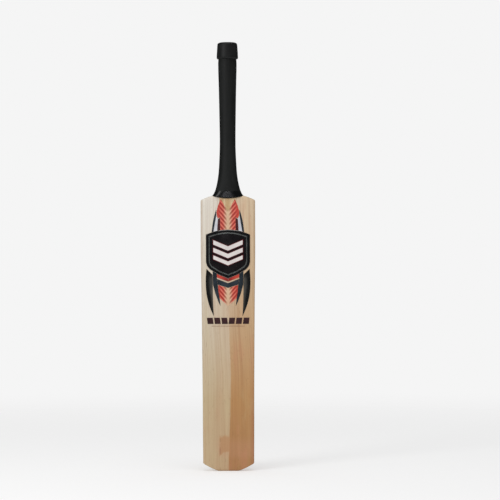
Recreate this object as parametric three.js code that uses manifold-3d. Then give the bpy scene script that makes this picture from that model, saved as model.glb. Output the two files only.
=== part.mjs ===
// Cricket bat: a willow blade with a V splice, a laminated cane handle with rubber
// inserts, the twine, tape and rubber grip over it, and a set of plain face labels.
// Millimetres. +Z runs from the toe to the handle's end, X is the width, -Y is the
// hitting face and +Y the spine. The origin is the centre of the toe's flat facet.
import * as THREE from "three";
import { mergeVertices } from "three/addons/utils/BufferGeometryUtils.js";
import Module from "manifold-3d";

// ---------------------------------------------------------------- dimensions
const TOTAL_LENGTH = 848; // toe facet to the rim of the top cuff
const FACE_Y = -3; // hitting face on the centre line, above the bow
const BOW = 9; // how far the toe curves forward
const BOW_TOP = 420; // height where the bow starts
const FACE_CROWN = 1.8; // the face falls away this much at the edges
const FACE_EDGE_R = 3; // rolled front edge
const BACK_EDGE_R = 5; // rolled back edge
const BACK_POWER = 1.25; // how hollow the back is between spine and edge
const RIDGE_SOFTNESS = 0.05; // rounding of the spine ridge, as a share of the half width
const TOE_R = 2.5; // rounding round the toe facet
const TOE_FLAT = 18.7; // half width of the flat toe facet
const TOE_RISE = 14.5; // height of the toe corners
const TOE_REACH = 31.75; // how far out from the flat the corners are
const TOE_BLEND = 60; // height over which the curve of the toe dies out

const HANDLE_Y = 14.5; // the handle's axis
const GAP = 0.3; // glue line between neighbours
const CUT_Z = 557; // top of the willow cheeks beside the handle
const SPLICE_TIP_Z = 417; // point of the V splice
const SPLICE_TIP_HALF = 3; // half width there
const SPLICE_TOP_HALF = 19.64; // half width at CUT_Z
const CORE_TOP = 843.6; // cane ends, inside the cuff
const STRIP_X = 4.6; // strip joints, each side of the middle
const INSERT_Y = [-6.2, 0, 6.2]; // rubber inserts, from the handle's axis
const INSERT_T = 1.6; // their thickness

const TWINE_IN = 0.3, TWINE_OUT = 1.0; // layers over the cane, as offsets from it
const TAPE_IN = 1.3, TAPE_OUT = 1.6;
const GRIP_IN = 1.9, GRIP_OUT = 3.9;
const TWINE_Z = 551, TAPE_Z = 550, LAYER_TOP = 842.6;
const GRIP_TOP = 844.4;
const GRIP_DIP = 4.6; // the grip's lower edge hangs this much lower at the front and back
const CUFF_LOW = 815.4, CUFF_HOLE = 0.66; // lower lip, and its hole as a share of the width

const LABEL_GAP = 0.3, LABEL_T = 0.4, SHIELD_T = 0.8;

const NU = 16; // facets across the front of a section, and across the back

// Height, half width, edge thickness, thickness at the spine, and then for the handle:
// half depth, squareness of the oval and how far the section has turned into it.
const STATIONS = [
  [20, 50.45, 22.0, 28.5],
  [45, 50.6, 26.3, 33.2],
  [75, 50.8, 30.4, 39.3],
  [110, 50.9, 33.9, 46.6],
  [150, 51.05, 37.0, 56.0],
  [200, 51.4, 38.5, 61.5],
  [250, 51.8, 38.0, 61.0],
  [300, 52.25, 35.5, 56.0],
  [350, 52.75, 31.5, 50.0],
  [400, 53.5, 27.0, 44.0],
  [450, 54.0, 23.5, 39.5],
  [500, 54.0, 21.0, 36.5],
  [531, 54.0, 19.7, 35.0, 17.5, 3.6, 0],
  [534, 53.7, 19.6, 35.0, 17.5, 3.6, 0.1],
  [535.6, 52.6, 19.5, 35.0, 17.5, 3.6, 0.16],
  [536.6, 50.6, 19.5, 35.0, 17.5, 3.6, 0.22],
  [538.5, 46.5, 19.5, 35.0, 17.5, 3.6, 0.34],
  [541, 40.4, 19.5, 35.0, 17.5, 3.5, 0.5],
  [543.2, 33.5, 19.5, 35.0, 17.5, 3.4, 0.66],
  [544.5, 28.4, 19.5, 35.0, 17.4, 3.3, 0.8],
  [546.5, 24.8, 19.5, 35.0, 17.4, 3.2, 0.92],
  [549, 22.9, 19.5, 35.0, 17.3, 3.0, 1],
  [552, 21.6, 19.5, 35.0, 17.2, 2.9, 1],
  [556, 20.4, 19.5, 35.0, 17.0, 2.7, 1],
  [561, 19.0, 0, 0, 16.8, 2.6, 1],
  [567, 17.8, 0, 0, 16.4, 2.5, 1],
  [575, 16.3, 0, 0, 15.9, 2.4, 1],
  [590, 14.3, 0, 0, 15.1, 2.3, 1],
  [612, 12.9, 0, 0, 14.2, 2.2, 1],
  [650, 11.7, 0, 0, 13.2, 2.15, 1],
  [700, 12.3, 0, 0, 13.7, 2.15, 1],
  [760, 13.4, 0, 0, 14.7, 2.15, 1],
  [804, 14.45, 0, 0, 15.6, 2.15, 1],
  [CORE_TOP, 14.1, 0, 0, 15.3, 2.15, 1],
].map(([z, hw, edge, spine, hy = 17.5, n = 3.6, k = 0]) => ({ z, hw, edge, spine, hy, n, k }));

// -------------------------------------------------------------------- solids
const wasm = await Module();
wasm.setup();

function solid(points, triangles) {
  const g = new THREE.BufferGeometry();
  g.setAttribute("position", new THREE.Float32BufferAttribute(points.flat(), 3));
  g.setIndex(triangles.flat());
  const m = mergeVertices(g, 1e-4);
  const make = (t) => new wasm.Manifold(new wasm.Mesh({ numProp: 3, vertProperties: m.attributes.position.array, triVerts: t }));
  const t = new Uint32Array(m.index.array);
  let s = make(t);
  if (s.volume() < 0) {
    for (let i = 0; i < t.length; i += 3) [t[i + 1], t[i + 2]] = [t[i + 2], t[i + 1]];
    s = make(t);
  }
  return s;
}

// A stack of rings with the same number of points. Each ring is a front row from -X to
// +X and a back row from +X to -X, so the two ends close as strips between the rows.
function loft(rings) {
  const m = rings[0].length, half = m / 2, tris = [];
  for (let r = 0; r + 1 < rings.length; r++)
    for (let i = 0; i < m; i++) {
      const a = r * m + i, b = r * m + ((i + 1) % m), c = a + m, d = b + m;
      tris.push([a, b, d], [a, d, c]);
    }
  for (const [r, flip] of [[0, true], [rings.length - 1, false]])
    for (let i = 0; i + 1 < half; i++) {
      const a = r * m + i, b = a + 1, c = r * m + (m - 1 - i), d = c - 1;
      for (const t of [[a, b, d], [a, d, c]]) tris.push(flip ? t.reverse() : t);
    }
  return solid(rings.flat(), tris);
}

// A closed band of rings: the profile runs round its own loop.
function band(rings) {
  const m = rings[0].length, n = rings.length, tris = [];
  for (let r = 0; r < n; r++)
    for (let i = 0; i < m; i++) {
      const s = (r + 1) % n, j = (i + 1) % m;
      tris.push([r * m + i, r * m + j, s * m + j], [r * m + i, s * m + j, s * m + i]);
    }
  return solid(rings.flat(), tris);
}

// An outline in X and Z, carried from y0 to y1.
function prism(outline, y0 = -200, y1 = 200) {
  const shape = outline.map(([x, z]) => new THREE.Vector2(x, z)), n = shape.length;
  const caps = THREE.ShapeUtils.triangulateShape(shape, []);
  const points = [...outline.map(([x, z]) => [x, y0, z]), ...outline.map(([x, z]) => [x, y1, z])];
  const tris = [];
  for (const [a, b, c] of caps) tris.push([a, b, c], [c + n, b + n, a + n]);
  const ccw = THREE.ShapeUtils.area(shape) > 0;
  for (let i = 0; i < n; i++) {
    const j = (i + 1) % n;
    const quad = [[j, i, i + n], [j, i + n, j + n]];
    for (const t of quad) tris.push(ccw ? t : t.reverse());
  }
  return solid(points, tris);
}
const box = (x0, x1, y0, y1, z0, z1) => prism([[x0, z0], [x1, z0], [x1, z1], [x0, z1]], y0, y1);

// ---------------------------------------------------------- the bat's surface
const US = Array.from({ length: NU + 1 }, (_, i) => Math.sin(((i / NU) * 2 - 1) * Math.PI / 2));
const faceY = (z) => FACE_Y - (z < BOW_TOP ? BOW * (1 - z / BOW_TOP) ** 2 : 0);
const rolled = (x, hw, r) => {
  const d = Math.abs(x) - (hw - r);
  return d > 0 ? r - Math.sqrt(Math.max(0, r * r - d * d)) : 0;
};
const ridge = (u) => {
  const s = RIDGE_SOFTNESS;
  return (1 - (Math.sqrt(u * u + s * s) - s) / (Math.sqrt(1 + s * s) - s)) ** BACK_POWER;
};
const toeRise = (x) => TOE_RISE * (Math.max(0, Math.abs(x) - TOE_FLAT) / TOE_REACH) ** 1.3;

function tableAt(z) {
  const first = STATIONS[0];
  if (z <= first.z) {
    const t = z / first.z; // the last 20 mm thin down to the toe
    return { ...first, edge: 17 + (first.edge - 17) * t, spine: 23 + (first.spine - 23) * t };
  }
  const i = Math.min(STATIONS.findIndex((s) => s.z >= z), STATIONS.length - 1);
  if (i < 0) return STATIONS[STATIONS.length - 1];
  const a = STATIONS[i - 1], b = STATIONS[i], t = (z - a.z) / (b.z - a.z);
  const mix = (k) => a[k] + (b[k] - a[k]) * t;
  return { z, hw: mix("hw"), edge: mix("edge"), spine: mix("spine"), hy: mix("hy"), n: mix("n"), k: mix("k") };
}

// Front and back of the section at one place across it.
function pairAt(s, x, u, z) {
  const f = faceY(z);
  const front = f + FACE_CROWN * (x / 54) ** 2 + rolled(x, s.hw, FACE_EDGE_R);
  const low = f + FACE_CROWN + s.edge;
  const back = low + (f + s.spine - low) * ridge(Math.abs(u)) - rolled(x, s.hw, BACK_EDGE_R);
  const oval = 0.8 + (s.hy - 0.8) * Math.max(0, 1 - Math.abs(u) ** s.n) ** (1 / s.n);
  return [
    front + (HANDLE_Y - oval - front) * s.k,
    back + (HANDLE_Y + oval - back) * s.k,
  ];
}

function ring(s, off = [0, 0, 0]) {
  const hw = s.hw + off[0];
  const pairs = US.map((u) => {
    const [f, b] = pairAt(s, u * s.hw, u, s.z);
    return [[u * hw, f - off[1], s.z + off[2]], [u * hw, b + off[1], s.z + off[2]]];
  });
  return [...pairs.map((p) => p[0]), ...pairs.map((p) => p[1]).reverse()];
}

// The outward direction of the side silhouette at each station.
const NORMAL = STATIONS.map((s, i) => {
  const a = STATIONS[Math.max(0, i - 1)], b = STATIONS[Math.min(STATIONS.length - 1, i + 1)];
  const dx = b.hw - a.hw, dz = b.z - a.z, l = Math.hypot(dx, dz);
  return [dz / l, -dx / l];
});
const grown = (t, z0, z1) =>
  STATIONS.map((s, i) => ({ s, r: ring(s, [t * NORMAL[i][0], t, t * NORMAL[i][1]]) }))
    .filter(({ s }) => s.z >= z0 && s.z <= z1)
    .map(({ r }) => r);

// The rings of the toe, whose levels bend up towards the corners.
function toeRing(z, inset) {
  const first = tableAt(0);
  const pairs = US.map((u) => {
    const x = u * (first.hw - inset);
    const zz = z + toeRise(x) * Math.max(0, 1 - z / TOE_BLEND) ** 2;
    const s = { ...tableAt(zz), hw: first.hw };
    const [f, b] = pairAt(s, x * (first.hw / (first.hw - inset)), u, zz);
    return [[x, f + inset, zz], [x, b - inset, zz]];
  });
  return [...pairs.map((p) => p[0]), ...pairs.map((p) => p[1]).reverse()];
}
const toe = [90, 60, 30, 0].map((a) => {
  const t = (a * Math.PI) / 180;
  return toeRing(TOE_R * (1 - Math.sin(t)), TOE_R * (1 - Math.cos(t)));
});
const lower = [9, 20, 35].map((z) => toeRing(z, 0));
const upper = STATIONS.filter((s) => s.z > 40).map((s) =>
  s.z < TOE_BLEND ? toeRing(s.z, 0) : ring(s));
const body = loft([...toe, ...lower, ...upper]);

// ------------------------------------------------------- blade, cane, inserts
const spliceHalf = (z) => SPLICE_TIP_HALF + ((z - SPLICE_TIP_Z) * (SPLICE_TOP_HALF - SPLICE_TIP_HALF)) / (CUT_Z - SPLICE_TIP_Z);
const vee = (gap) => prism([
  [-(SPLICE_TIP_HALF - gap), SPLICE_TIP_Z + gap],
  [SPLICE_TIP_HALF - gap, SPLICE_TIP_Z + gap],
  [spliceHalf(CUT_Z) - gap, CUT_Z + gap],
  [90, CUT_Z + gap], [90, 1000], [-90, 1000], [-90, CUT_Z + gap],
  [-(spliceHalf(CUT_Z) - gap), CUT_Z + gap],
]);
const blade = body.subtract(vee(0));
const core = body.intersect(vee(GAP));

const nodes = [];
const add = (name, s, material) => nodes.push([name, s, material]);
const paint = (color, roughness, metalness = 0) => new THREE.MeshStandardMaterial({ color, roughness, metalness });
const WILLOW = paint(0xd9c3a0, 0.55);
const CANE = paint(0xc9a56b, 0.6);
const INSERT_RUBBER = paint(0x2b2522, 0.85);
const TWINE = paint(0xd8cdb4, 0.8);
const TAPE = paint(0xeae6da, 0.6);
const GRIP = paint(0x202221, 0.75);
const RED = paint(0xc8402c, 0.3);
const MAROON = paint(0x3a0a0c, 0.35);
const SLATE = paint(0x2a3138, 0.25, 0.3);
const SILVER = paint(0xc9ccd2, 0.25, 0.7);
const BLACK = paint(0x08090b, 0.12);

add("blade", blade, WILLOW);

const h = INSERT_T / 2;
const slabs = [
  ["front", -90, HANDLE_Y + INSERT_Y[0] - h - GAP],
  ["midfront", HANDLE_Y + INSERT_Y[0] + h + GAP, HANDLE_Y + INSERT_Y[1] - h - GAP],
  ["midback", HANDLE_Y + INSERT_Y[1] + h + GAP, HANDLE_Y + INSERT_Y[2] - h - GAP],
  ["back", HANDLE_Y + INSERT_Y[2] + h + GAP, 90],
];
const strips = [
  ["left", -90, -STRIP_X - GAP / 2],
  ["middle", -STRIP_X + GAP / 2, STRIP_X - GAP / 2],
  ["right", STRIP_X + GAP / 2, 90],
];
for (const [slab, y0, y1] of slabs)
  for (const [strip, x0, x1] of strips)
    add(`cane_${slab}_${strip}`, core.intersect(box(x0, x1, y0, y1, 400, 900)), CANE);
["front", "centre", "back"].forEach((name, i) => {
  const y = HANDLE_Y + INSERT_Y[i];
  add(`rubber_insert_${name}`, core.intersect(box(-90, 90, y - h, y + h, 400, 900)), INSERT_RUBBER);
});

// --------------------------------------------------- twine, tape, grip, cuff
const layer = (tin, tout, z0, z1) =>
  loft(grown(tout, 545, 900))
    .subtract(loft(grown(tin, 536, 900)))
    .intersect(box(-90, 90, -90, 90, z0, z1));
add("twine_binding", layer(TWINE_IN, TWINE_OUT, TWINE_Z, LAYER_TOP), TWINE);
add("grip_tape", layer(TAPE_IN, TAPE_OUT, TAPE_Z, LAYER_TOP), TAPE);

// Outside of the grip. Its lowest rings hang down over the face and the back.
const GRIP_LOW = [
  [543.0, 31.8, 21.3, 3.9],
  [544.8, 30.4, 21.3, 3.8],
  [547.0, 28.6, 21.2, 3.6],
  [551.0, 26.5, 21.1, 3.2],
  [555.0, 24.95, 20.9, 2.9],
  [560.0, 23.4, 20.6, 2.7],
];
const dipAt = (z) => Math.max(0, 1 - (z - 543) / 30) ** 2;
function ovalRing(z, hx, hy, n, dip = 0) {
  const pairs = US.map((u) => {
    const o = 0.8 + (hy - 0.8) * Math.max(0, 1 - Math.abs(u) ** n) ** (1 / n);
    const zz = z - dip * (1 - u * u);
    return [[u * hx, HANDLE_Y - o, zz], [u * hx, HANDLE_Y + o, zz]];
  });
  return [...pairs.map((p) => p[0]), ...pairs.map((p) => p[1]).reverse()];
}
const topScale = (z) => (z > 808 ? Math.min(1, (z - 808) / 7) * 0.55 : 0); // it is drawn in under the cuff
const handleStations = STATIONS.filter((s) => s.z >= 567);
const gripOuter = [
  ...GRIP_LOW.map(([z, hx, hy, n]) => ovalRing(z, hx, hy, n, GRIP_DIP * dipAt(z))),
  ...handleStations.slice(0, -1).map((s) => ovalRing(s.z, s.hw + GRIP_OUT, s.hy + GRIP_OUT, s.n)),
  ...[809, 815, GRIP_TOP].map((z) => {
    const s = tableAt(Math.min(z, CORE_TOP)), t = GRIP_OUT - topScale(z);
    return ovalRing(z, s.hw + t, s.hy + t, s.n);
  }),
];
const seat = loft(grown(0.35, 500, 900)).add(loft(grown(GRIP_IN, 547, 900)).intersect(box(-90, 90, -90, 90, 549.4, 900)));
const grip = loft(gripOuter)
  .subtract(seat)
  .subtract(box(-12, 12, HANDLE_Y - 12, HANDLE_Y + 12, 830, 900));
add("grip_sleeve", grip, GRIP);

// The rolled cuff at the end of the handle: a thick lip below, a rounded rim above,
// and a hole through which the ends of the cane show.
const cuffRing = (z, t) => {
  const s = tableAt(Math.min(z, CORE_TOP));
  return ovalRing(z, s.hw + t, s.hy + t, s.n);
};
const under = GRIP_OUT - 0.55 + GAP; // inside of the cuff, over the drawn-in grip
const hole = (z) => {
  const s = tableAt(CORE_TOP);
  return ovalRing(z, (s.hw + GRIP_OUT) * CUFF_HOLE, (s.hy + GRIP_OUT) * CUFF_HOLE, s.n);
};
const wide = (z, hx) => ovalRing(z, hx, hx * 1.06, 2.15);
add("grip_top_cuff", band([
  wide(CUFF_LOW, 19.3),
  wide(CUFF_LOW + 0.9, 20.6),
  wide(CUFF_LOW + 3, 21.2),
  wide(832, 20.6),
  wide(842, 19.9),
  wide(845.6, 19.2),
  wide(847.4, 17.6),
  wide(TOTAL_LENGTH, 14.9),
  hole(TOTAL_LENGTH - 0.4),
  hole(GRIP_TOP + GAP),
  cuffRing(GRIP_TOP + GAP, under),
  cuffRing(830, under),
  cuffRing(CUFF_LOW + 0.5, under),
]), GRIP);

// -------------------------------------------------------------------- labels
// A sheet that follows the face, from which each label is cut with an outline.
const sheet = (a, b) => {
  const zs = STATIONS.filter((s) => s.z >= 250 && s.z <= 531);
  const rows = [...zs.map((s) => ({ s, z: s.z })), { s: STATIONS.find((s) => s.z === 531), z: 537.6 }];
  const rings = rows.map(({ s, z }) => {
    const inner = US.slice(1, -1).map((u) => [u * s.hw, pairAt({ ...s, k: 0 }, u * s.hw, u, s.z)[0]]);
    return [
      ...inner.map(([x, y]) => [x, y - b, z]),
      ...inner.map(([x, y]) => [x, y - a, z]).reverse(),
    ];
  });
  return loft(rings);
};
const thin = sheet(LABEL_GAP, LABEL_GAP + LABEL_T);
const thick = sheet(LABEL_GAP, LABEL_GAP + SHIELD_T);
const mirror = (p) => p.map(([x, z]) => [-x, z]).reverse();
const label = (name, outline, material, from = thin) => add(name, from.intersect(prism(outline, -60, 60)), material);
const both = (name, outline, material) => {
  label(`${name}_left`, outline, material);
  label(`${name}_right`, mirror(outline), material);
};

// Moves each side of a convex outline in by d.
function inset(poly, d) {
  const n = poly.length, ccw = THREE.ShapeUtils.area(poly.map(([x, z]) => new THREE.Vector2(x, z))) > 0 ? 1 : -1;
  const side = poly.map((p, i) => {
    const q = poly[(i + 1) % n], l = Math.hypot(q[0] - p[0], q[1] - p[1]);
    const nx = (-(q[1] - p[1]) / l) * ccw, nz = ((q[0] - p[0]) / l) * ccw;
    return { p: [p[0] + nx * d, p[1] + nz * d], v: [q[0] - p[0], q[1] - p[1]] };
  });
  return side.map((b, i) => {
    const a = side[(i + n - 1) % n];
    const c = a.v[0] * b.v[1] - a.v[1] * b.v[0];
    if (Math.abs(c) < 1e-9) return b.p;
    const t = ((b.p[0] - a.p[0]) * b.v[1] - (b.p[1] - a.p[1]) * b.v[0]) / c;
    return [a.p[0] + a.v[0] * t, a.p[1] + a.v[1] * t];
  });
}

// The shield: a low arch, straight sides and a tapered point.
const right = [[43.6, 466.8], [43.6, 412.5], [41.4, 404.6], [36.0, 398.0], [19.0, 387.6], [0, 380.0]];
const archZ = (x) => 476.4 - 9.6 * (x / 43.6) ** 2;
const arch = [-36, -24, -12, 0, 12, 24, 36].map((x) => [x, archZ(x)]);
const SHIELD = [...arch, ...right, ...right.slice(0, -1).map(([x, z]) => [-x, z]).reverse()];
const RIM = 5.2, LINE = 2.2;
const ringOf = (a, b) => prism(inset(SHIELD, a), -60, 60).subtract(prism(inset(SHIELD, b), -61, 61));
add("label_shield_rim", thick.intersect(ringOf(0, RIM)), BLACK);
add("label_shield_line", thick.intersect(ringOf(RIM + GAP, RIM + GAP + LINE)), SILVER);
add("label_shield_field", thick.intersect(prism(inset(SHIELD, RIM + LINE + 2 * GAP), -60, 60)), BLACK);

// Heights of the pieces that meet the shield, one glue line off its outline.
const over = (x) => [x, archZ(x) + 0.4];
const lowEdge = (x) => {
  const low = right.slice(1).reverse(), i = low.findIndex(([px]) => px >= Math.abs(x));
  const [p, q] = [low[Math.max(0, i - 1)], low[i]];
  return [x, (i ? p[1] + ((q[1] - p[1]) * (Math.abs(x) - p[0])) / (q[0] - p[0]) : p[1]) - 0.45];
};

// Above the shield: a two-peaked red crest, dark bars, pale facets and dark fins.
const crestHalf = [[14, 537.2], [19.4, 524], [22.4, 512.5], [22, 505], [19.9, 499.2], [15.2, 500.4]];
label("label_crest", [
  [0, 512], ...crestHalf, over(15.2), over(8), over(0), over(-8), over(-15.2), ...mirror(crestHalf),
], RED);
both("label_bar", [[-15.5, 499.6], [-19.4, 497.4], [-20.2, 486], over(-20.9), over(-18), over(-15.5)], MAROON);
both("label_facet", [[-19.8, 497.6], [-22.9, 504], [-25.8, 488], over(-28.3), over(-25), over(-21.3), [-20.6, 486]], SILVER);
both("label_fin", [[-23.3, 515.6], [-26.6, 505], [-30, 489], over(-32.2), over(-30.4), over(-28.7), [-26.2, 488], [-23.2, 504.6], [-23, 510]], SLATE);

// Below it: two tapered stripes on each side, a shallow vee, and red between them.
both("label_wing", [
  [-42.6, 399], [-44, 384], [-44.2, 368], [-42.8, 350], [-39.4, 333.5], [-34.4, 318.5], [-28.4, 305.5],
  [-29.6, 325], [-30.2, 345], [-30.4, 366], [-31, 387.6],
], BLACK);
both("label_fang", [
  lowEdge(-30.3), [-30.3, 380], [-29.9, 368], [-25.4, 350.5], [-19.4, 334], [-15.2, 325.9],
  [-17, 340.8], [-19.4, 356], [-20.4, 368], [-22.2, 379.4], lowEdge(-22.2),
], SLATE);
label("label_vee", [
  [-21.8, 379.0], [-20.0, 367.6], [0, 361.2], [20.0, 367.6], [21.8, 379.0], [0, 370.6],
], SLATE);
both("label_chevron", [lowEdge(-21.9), [-21.9, 381.8], [-0.3, 373.6], lowEdge(-0.3), lowEdge(-19)].reverse(), RED);
label("label_plume", [
  [-19.6, 367.0], [-19.0, 355], [-16.6, 341.0], [0, 325.4], [16.6, 341.0], [19.0, 355], [19.6, 367.0], [0, 360.8],
], RED);

// A row of plain slanted blocks, mirrored about the middle, and a hairline under it.
for (let i = 0; i < 3; i++) {
  const x = 0.6 + i * 14.2;
  const block = [[x, 290], [x + 11.6, 290], [x + 13.2, 302.4], [x + 1.6, 302.4]];
  label(`label_block_${i + 4}`, block, MAROON);
  label(`label_block_${3 - i}`, mirror(block), MAROON);
}
label("label_hairline", [[-33, 285.4], [33, 285.4], [33, 286.2], [-33, 286.2]], MAROON);

// ------------------------------------------------------------------ assembly
const group = new THREE.Group();
group.name = "cricket_bat";
for (const [name, s, material] of nodes) {
  const m = s.getMesh(), n = m.numProp, xyz = new Float32Array((m.vertProperties.length / n) * 3);
  for (let i = 0; i < xyz.length / 3; i++)
    for (let k = 0; k < 3; k++) xyz[i * 3 + k] = m.vertProperties[i * n + k];
  const g = new THREE.BufferGeometry();
  g.setAttribute("position", new THREE.BufferAttribute(xyz, 3));
  g.setIndex(new THREE.BufferAttribute(new Uint32Array(m.triVerts), 1));
  const flat = g.toNonIndexed();
  flat.computeVertexNormals();
  const mesh = new THREE.Mesh(flat, material);
  mesh.name = name;
  group.add(mesh);
}
export default group;
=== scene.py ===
"""Cricket bat: looks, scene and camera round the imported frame. Metres, row frame."""
import math

import bmesh
import bpy
from mathutils import Matrix, Vector


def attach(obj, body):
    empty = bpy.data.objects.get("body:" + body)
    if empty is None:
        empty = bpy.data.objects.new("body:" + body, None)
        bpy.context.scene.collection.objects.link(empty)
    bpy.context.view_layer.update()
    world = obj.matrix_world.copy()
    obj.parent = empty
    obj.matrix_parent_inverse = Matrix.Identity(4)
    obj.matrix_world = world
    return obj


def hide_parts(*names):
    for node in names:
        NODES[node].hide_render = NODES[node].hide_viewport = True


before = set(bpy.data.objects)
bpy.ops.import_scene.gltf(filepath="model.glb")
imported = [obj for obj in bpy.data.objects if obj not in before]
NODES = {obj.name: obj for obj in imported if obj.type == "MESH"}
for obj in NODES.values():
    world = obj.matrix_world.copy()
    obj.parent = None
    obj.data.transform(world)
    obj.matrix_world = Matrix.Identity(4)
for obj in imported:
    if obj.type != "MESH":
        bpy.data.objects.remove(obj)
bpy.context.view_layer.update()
bpy.context.scene.view_settings.view_transform = "Standard"
bpy.context.scene.view_settings.look = "None"
bpy.context.scene.view_settings.exposure = 0.0
bpy.context.scene.view_settings.gamma = 1.0

MM = 0.001


def srgb(r, g, b):
    """sRGB 0-255 to a linear colour."""
    f = lambda v: v / 12.92 if v <= 0.04045 else ((v + 0.055) / 1.055) ** 2.4
    return (f(r / 255), f(g / 255), f(b / 255), 1.0)


# ------------------------------------------------------------------ dimensions
FACE_Y, BOW, BOW_TOP, CROWN = -3.0, 9.0, 420.0, 1.8
FACE_R, BACK_R, BACK_POWER, RIDGE = 3.0, 5.0, 1.25, 0.05
TOE_R, TOE_FLAT, TOE_RISE, TOE_REACH, TOE_BLEND = 2.5, 18.7, 14.5, 31.75, 60.0
HANDLE_Y, CUT_Z, TIP_Z, TIP_HALF, TOP_HALF = 14.5, 557.0, 417.0, 3.0, 19.64
CORE_TOP, STRIP_X, INSERT_T = 843.6, 4.6, 1.6
INSERT_Y = (-6.2, 0.0, 6.2)
TABLE = [
    (20, 50.45, 22.0, 28.5), (45, 50.6, 26.3, 33.2), (75, 50.8, 30.4, 39.3),
    (110, 50.9, 33.9, 46.6), (150, 51.05, 37.0, 56.0), (200, 51.4, 38.5, 61.5),
    (250, 51.8, 38.0, 61.0), (300, 52.25, 35.5, 56.0), (350, 52.75, 31.5, 50.0),
    (400, 53.5, 27.0, 44.0), (450, 54.0, 23.5, 39.5), (500, 54.0, 21.0, 36.5),
    (531, 54.0, 19.7, 35.0, 17.5, 3.6, 0), (534, 53.7, 19.6, 35.0, 17.5, 3.6, 0.1),
    (535.6, 52.6, 19.5, 35.0, 17.5, 3.6, 0.16), (536.6, 50.6, 19.5, 35.0, 17.5, 3.6, 0.22),
    (538.5, 46.5, 19.5, 35.0, 17.5, 3.6, 0.34), (541, 40.4, 19.5, 35.0, 17.5, 3.5, 0.5),
    (543.2, 33.5, 19.5, 35.0, 17.5, 3.4, 0.66), (544.5, 28.4, 19.5, 35.0, 17.4, 3.3, 0.8),
    (546.5, 24.8, 19.5, 35.0, 17.4, 3.2, 0.92), (549, 22.9, 19.5, 35.0, 17.3, 3.0, 1),
    (552, 21.6, 19.5, 35.0, 17.2, 2.9, 1), (556, 20.4, 19.5, 35.0, 17.0, 2.7, 1),
    (561, 19.0, 19.5, 35.0, 16.8, 2.6, 1), (567, 17.8, 19.5, 35.0, 16.4, 2.5, 1),
    (575, 16.3, 19.5, 35.0, 15.9, 2.4, 1), (590, 14.3, 19.5, 35.0, 15.1, 2.3, 1),
    (612, 12.9, 19.5, 35.0, 14.2, 2.2, 1), (650, 11.7, 19.5, 35.0, 13.2, 2.15, 1),
    (700, 12.3, 19.5, 35.0, 13.7, 2.15, 1), (760, 13.4, 19.5, 35.0, 14.7, 2.15, 1),
    (804, 14.45, 19.5, 35.0, 15.6, 2.15, 1), (843.6, 14.1, 19.5, 35.0, 15.3, 2.15, 1),
]
TABLE = [(0, 50.45, 17.0, 23.0, 17.5, 3.6, 0)] + [t if len(t) > 4 else t + (17.5, 3.6, 0) for t in TABLE]


def pchip(xs, ys):
    """Monotone cubic through the points, as a function."""
    n = len(xs)
    h = [xs[i + 1] - xs[i] for i in range(n - 1)]
    d = [(ys[i + 1] - ys[i]) / h[i] for i in range(n - 1)]
    m = [d[0]] + [0.0] * (n - 2) + [d[-1]]
    for i in range(1, n - 1):
        if d[i - 1] * d[i] > 0:
            w1, w2 = 2 * h[i] + h[i - 1], h[i] + 2 * h[i - 1]
            m[i] = (w1 + w2) / (w1 / d[i - 1] + w2 / d[i])

    def f(x):
        if x <= xs[0]:
            return ys[0]
        if x >= xs[-1]:
            return ys[-1]
        lo, hi = 0, n - 1
        while hi - lo > 1:
            mid = (lo + hi) // 2
            lo, hi = (mid, hi) if xs[mid] <= x else (lo, mid)
        t = (x - xs[lo]) / h[lo]
        a, b, p, q = ys[lo], ys[hi], m[lo] * h[lo], m[hi] * h[lo]
        return (2 * t**3 - 3 * t * t + 1) * a + (t**3 - 2 * t * t + t) * p + (3 * t * t - 2 * t**3) * b + (t**3 - t * t) * q

    return f


ZS = [t[0] for t in TABLE]
F_HW, F_EDGE, F_SPINE, F_HY, F_N, F_K = (pchip(ZS, [t[k] for t in TABLE]) for k in range(1, 7))


def face_y(z):
    return FACE_Y - (BOW * (1 - z / BOW_TOP) ** 2 if z < BOW_TOP else 0)


def rolled(x, hw, r):
    d = abs(x) - (hw - r)
    return r - math.sqrt(max(0.0, r * r - d * d)) if d > 0 else 0.0


def ridge(u):
    return (1 - (math.sqrt(u * u + RIDGE**2) - RIDGE) / (math.sqrt(1 + RIDGE**2) - RIDGE)) ** BACK_POWER


def pair_at(x, hw, u, z):
    """Front and back of the bat's own body at one place of the section at z."""
    f = face_y(z)
    front = f + CROWN * (x / 54) ** 2 + rolled(x, hw, FACE_R)
    low = f + CROWN + F_EDGE(z)
    back = low + (f + F_SPINE(z) - low) * ridge(abs(u)) - rolled(x, hw, BACK_R)
    n, hy, k = F_N(z), F_HY(z), F_K(z)
    oval = 0.8 + (hy - 0.8) * max(0.0, 1 - abs(u) ** n) ** (1 / n)
    return front + (HANDLE_Y - oval - front) * k, back + (HANDLE_Y + oval - back) * k


def spread(n):
    return [math.sin((i / n * 2 - 1) * math.pi / 2) for i in range(n + 1)]


def toe_rise(x):
    return TOE_RISE * (max(0.0, abs(x) - TOE_FLAT) / TOE_REACH) ** 1.3


def body_ring(z, us, inset=0.0, bend=True):
    hw = F_HW(z)
    front, back = [], []
    for u in us:
        x = u * (hw - inset)
        zz = z + (toe_rise(x) * max(0.0, 1 - z / TOE_BLEND) ** 2 if bend else 0)
        f, b = pair_at(x * hw / (hw - inset), hw, u, zz)
        front.append((x, f + inset, zz))
        back.append((x, b - inset, zz))
    return front + back[::-1]


def oval_ring(z, hx, hy, n, us, dip=0.0):
    front, back = [], []
    for u in us:
        o = 0.8 + (hy - 0.8) * max(0.0, 1 - abs(u) ** n) ** (1 / n)
        zz = z - dip * (1 - u * u)
        front.append((u * hx, HANDLE_Y - o, zz))
        back.append((u * hx, HANDLE_Y + o, zz))
    return front + back[::-1]


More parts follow.
